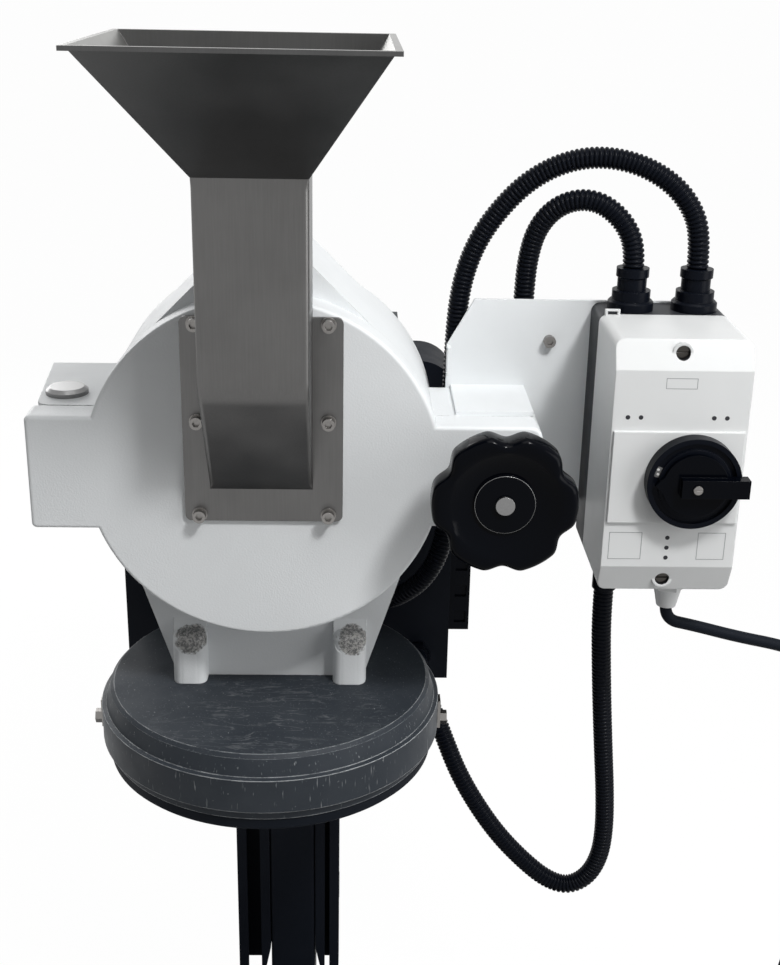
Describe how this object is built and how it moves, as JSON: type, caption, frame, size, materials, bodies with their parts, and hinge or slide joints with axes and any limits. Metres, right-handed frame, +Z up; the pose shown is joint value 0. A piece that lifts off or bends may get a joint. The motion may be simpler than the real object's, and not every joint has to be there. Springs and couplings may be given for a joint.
{
  "type": "laboratory rotor mill",
  "caption": "Bench laboratory rotor mill: hinged round door with feed hopper and star knob, grinding chamber over a collector lid, control box with conduits, motor and column stand.",
  "frame": {"origin": "on the floor plane at the underside of the base plate, straight under the collector lid's centre", "axes": "+Z up, the door and hopper face -Y, +X to the viewer's right; the rotor axis lies along Y"},
  "size_m": [0.7667, 0.7055, 1.0854],
  "materials": {
    "cast_white": "textured powder coat",
    "sheet_white": "smooth powder coat",
    "stainless": "brushed",
    "steel": "machined",
    "zinc": "zinc plated",
    "dark_lid": "scuffed paint",
    "black_frame": "satin powder coat",
    "black_knob": "gloss",
    "black_plastic": "satin",
    "grey_plastic": "fine grain",
    "dark_plastic": "fine grain",
    "rubber": "matt",
    "motor_paint": "satin paint"
  },
  "bodies": {
    "root": {"base_plate": "black_frame", "column_post": "black_frame", "post_bolts": "zinc", "guide_rail_left": "black_frame", "guide_rail_right": "black_frame", "rail_brackets": "black_frame", "stand_head": "black_frame", "cable_duct": "black_plastic", "collector_lid": "dark_lid", "lid_seal": "rubber", "lid_side_bolts": "zinc", "housing": "cast_white", "foot_bolts": "zinc", "ring_sieve": "stainless", "sieve_seat": "stainless", "bearing_carrier": "steel", "bearings": "steel", "shaft_seal": "rubber", "carrier_screws": "zinc", "motor_flange": "motor_paint", "motor_body": "motor_paint", "terminal_box": "motor_paint", "fan_cowl": "motor_paint", "hinge_pin": "steel", "bracket": "sheet_white", "shelf_plate": "sheet_white", "bracket_screws": "zinc", "safety_switch": "black_plastic", "switch_base": "dark_plastic", "switch_cover": "grey_plastic", "cover_screws": "zinc", "switch_plate": "black_plastic", "top_glands": "black_plastic", "bottom_gland": "black_plastic", "mains_gland": "grey_plastic", "head_glands": "black_plastic", "conduit_long": "black_plastic", "conduit_short": "black_plastic", "conduit_drop": "black_plastic", "mains_cable": "rubber", "mains_coil": "rubber", "mains_plug": "rubber"},
    "door": {"door": "cast_white", "door_gasket": "rubber", "door_liner": "stainless", "hinge_bushes": "steel", "chute_plate": "stainless", "chute": "stainless", "hopper": "stainless", "plate_screws": "zinc", "plate_washers": "zinc"},
    "knob_washer": {"thrust_washer": "steel"},
    "knob": {"star_knob": "black_knob", "knob_spindle": "steel"},
    "switch_handle": {"switch_handle": "black_knob", "handle_screw": "zinc"},
    "rotor": {"rotor": "steel", "rotor_nut": "steel", "shaft": "steel", "fan": "black_plastic"}
  },
  "joints": [
    {"name": "door_hinge", "type": "hinge", "parent": "root", "child": "door", "pos_m": [-0.162, 0.0055, 0.756], "axis": [0, 0, -1], "range_deg": [0, 90]},
    {"name": "knob_travel", "type": "slide", "parent": "door", "child": "knob_washer", "axis": [0, -1, 0], "range_m": [0, 0.012]},
    {"name": "knob_turn", "type": "hinge", "parent": "knob_washer", "child": "knob", "pos_m": [0.184, -0.1, 0.753], "axis": [0, -1, 0], "range_deg": [0, 2160]},
    {"name": "switch_turn", "type": "hinge", "parent": "root", "child": "switch_handle", "pos_m": [0.3306, -0.1, 0.763], "axis": [0, -1, 0], "range_deg": [0, 90]},
    {"name": "rotor_spin", "type": "hinge", "parent": "root", "child": "rotor", "pos_m": [0, 0.1, 0.756], "axis": [0, -1, 0], "continuous": true}
  ],
  "couplings": [
    {"joint": "knob_travel", "follows": "knob_turn", "m_per_rad": 0.00031831}
  ]
}
